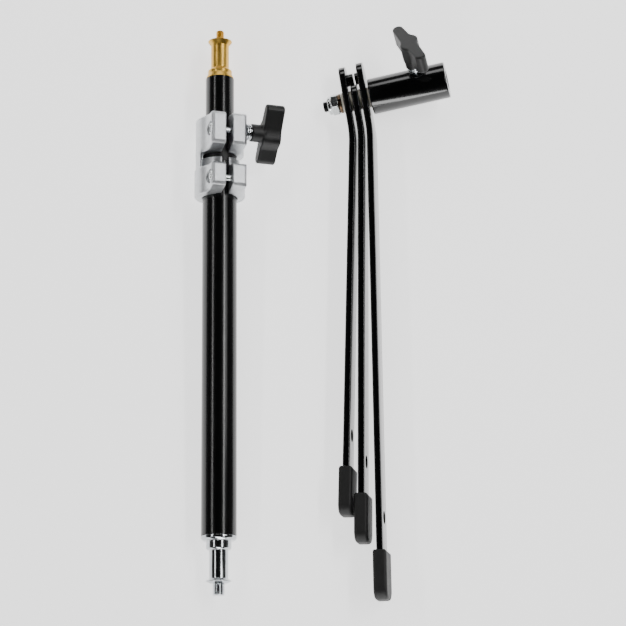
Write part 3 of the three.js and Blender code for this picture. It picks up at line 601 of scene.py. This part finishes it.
def bar(bend, centre, heel, end):
    """Round-edged strip swept along a leg's line; the heel's half-round end comes from the half
    width falling as a circle does."""
    q = np.linspace(0.02, np.pi / 2, 26)
    start = -BEND_AT - heel
    s = np.concatenate([start + LEG_W * (1 - np.cos(q)),
                        np.linspace(start + LEG_W + 1, -9.5, 3), np.linspace(-9, 9, 13),
                        np.linspace(10, end - 1, 12), [end]])
    half = np.concatenate([LEG_W * np.sin(q), np.full(len(s) - len(q), LEG_W)])
    x, y, angle = leg_line(bend, centre, s)
    t = np.linspace(0, np.pi / 2, 5)
    cut = 0.9
    turn_u = np.concatenate([np.cos(t + k * np.pi / 2) for k in range(4)])
    turn_v = np.concatenate([np.sin(t + k * np.pi / 2) for k in range(4)])
    sign_u = np.repeat([1, -1, -1, 1], 5)
    sign_v = np.repeat([1, 1, -1, -1], 5)
    u = sign_u * (LEG_T - cut) + cut * turn_u
    small = np.minimum(cut, half)[:, None]
    v = sign_v * (half[:, None] - small) + small * turn_v
    px = x[:, None] + u * np.cos(angle)[:, None]
    py = y[:, None] - u * np.sin(angle)[:, None]
    return sheet(np.stack([px, py, v], -1))


def across(bend, centre, at):
    """Frame at a distance from the bend with Y through the leg's thickness."""
    x, y, angle = leg_line(bend, centre, np.array([float(at)]))
    a = angle[0]
    return sub_place(BASE, (x[0], y[0], 0), (0, 0, 1), (math.cos(a), -math.sin(a), 0))


def boot(x, y, z):
    """Boot below y = 0: side outline with big round toes, rounded over its thickness, and a
    pocket for the bar."""
    outline = oblong(z, y + 20.5, 14, 20.5, 9.5)
    square = np.maximum(np.abs(z) - 14, y)
    outline = np.where(y > -15, square, outline)
    body = slab(outline, x, 5.9, 2.6)
    body = soft_max(body, y, 0.6)
    pocket = np.maximum(np.maximum(np.abs(x) - LEG_T - 0.3, np.abs(z) - LEG_W - 0.3), -34.3 - y)
    return np.maximum(body, -pocket)


for name, (bend, reach, heel, stud, body) in LEGS.items():
    centre = STACK[name]
    shells = [bar(bend, centre, heel, reach - FOOT_LENGTH + 34)]
    leg = piece(f"leg_{name}_body", shells, BASE, black_enamel, body, "black_enamel",
                f"leg_{name}")
    carve(leg, [lathe([(0, -9), (5.3, -9), (5.3, 9), (0, 9)], sides=48)],
          across(bend, centre, -BEND_AT))
    carve(leg, [lathe([(0, -9), (5.5, -9), (5.5, 9), (0, 9)], sides=64)],
          across(bend, centre, reach - FOOT_LENGTH - 28))
    if stud:
        sign = math.copysign(1, stud)
        ends = sorted((sign * (LEG_T - 0.2), sign * LEG_T + stud))
        piece(f"stop_stud_{name}", [lathe([
            (0, ends[0]), (5.5, ends[0], 0.5), (5.5, ends[1], 0.5), (0, ends[1])], sides=64)],
            sub_place(BASE, (centre, STUD_AT, 0), (0, 0, 1), (1, 0, 0)), black_enamel, body,
            "black_enamel")
    x, y, angle = leg_line(bend, centre, np.array([reach - FOOT_LENGTH]))
    a = angle[0]
    foot_place = sub_place(BASE, (x[0], y[0], 0), (math.cos(a), -math.sin(a), 0),
                           (math.sin(a), math.cos(a), 0))
    piece(f"foot_{name}_body", [moulded(boot, (-7, -43, -16), (7, 2, 16), 0.6)], foot_place,
          rubber, body, "rubber", f"foot_{name}", crease=50)

# ---------------------------------------------------------------- pivot stack
# Bolt through the socket floor and the three legs, nylon washers between them, a split spring
# washer and a lock nut with a nylon ring.
# Natural nylon washer.
nylon = finish("natural nylon", "#d9d2c0", "#ece7da", (0.4, 0.5), 0.0, 0.7, 0.01, 6)
# Blackened bolt steel.
black_steel = finish("blackened steel", "#0b0b0c", "#1a1a1b", (0.3, 0.42), 0.6, 0.6, 0.01, 6)
# Oiled brown spring steel.
spring_brown = finish("oiled spring steel", "#4a3a2c", "#75604b", (0.25, 0.4), 1.0, 0.8, 0.01, 5)
for name, high in (("top", -0.3), ("mid", -8.2), ("low", -16.1), ("end", -24.0)):
    piece(f"washer_{name}_body", [lathe([
        (5.3, high - 1.6), (9, high - 1.6, 0.2), (9, high, 0.2), (5.3, high)], True)],
        TURNED_BASE, nylon, "socket", "nylon", f"washer_{name}")
BOLT_LOW = -42.9
piece("pivot_bolt_body", [
    lathe([(0, BOLT_LOW + 0.5), (4.2, BOLT_LOW + 0.5), (4.2, -20), (5, -19), (5, 12.3, 0.3),
           (7.6, 12.3, 0.3), (7.6, 16.7, 0.6), (3, 17.3, 0.3), (3, 14.3), (0, 14.3)], sides=64),
    screw(4.2, 5.0, BOLT_LOW, -18, 1.5)], TURNED_BASE, black_steel, "socket", "black_steel",
    "pivot_bolt")


def coil(low, high, inner, outer, rise):
    """Split ring: rectangle section swept round Y once but for a 12 degree gap, one end lifted."""
    a = np.linspace(math.radians(6), math.radians(354), 72)[:, None]
    section = rounded([(inner, low, 0.15), (outer, low, 0.15), (outer, high, 0.15),
                       (inner, high, 0.15)], True)
    r, h = section[None, :, 0], section[None, :, 1] + (a / (2 * np.pi) - 0.5) * rise
    return sheet(np.stack([r * np.cos(a), h + 0 * a, r * np.sin(a)], -1))


piece("spring_washer_body", [coil(-28.4, -26.4, 5.3, 8.7, 0.3)], TURNED_BASE, spring_brown,
      "socket", "spring_steel", "spring_washer")
NUT_HIGH, NUT_LOW = -28.8, -38.8


def lock_nut(x, y, z):
    """Hexagon with both ends turned back, and a round crimped collar on the free side."""
    low = NUT_HIGH - 7.2
    middle, half = (low + NUT_HIGH) / 2, 3.6
    r = np.hypot(x, z)
    body = np.maximum(hexagon(x, z, 17), np.abs(y - middle) - half)
    body = soft_max(body, (r + np.abs(y - middle) * 1.7 - 13.9) / 1.97, 0.3)
    collar_ring = slab(r - 7.9, y - (NUT_LOW + low) / 2 - 0.6, (low - NUT_LOW) / 2 + 0.6, 1.1)
    return np.maximum(soft_min(body, collar_ring, 0.5), 5.2 - r)


piece("lock_nut_body", [moulded(lock_nut, (-11, -40, -11), (11, -28, 11), 0.2)], TURNED_BASE,
      zinc, "socket", "zinc_steel", "lock_nut", crease=40)
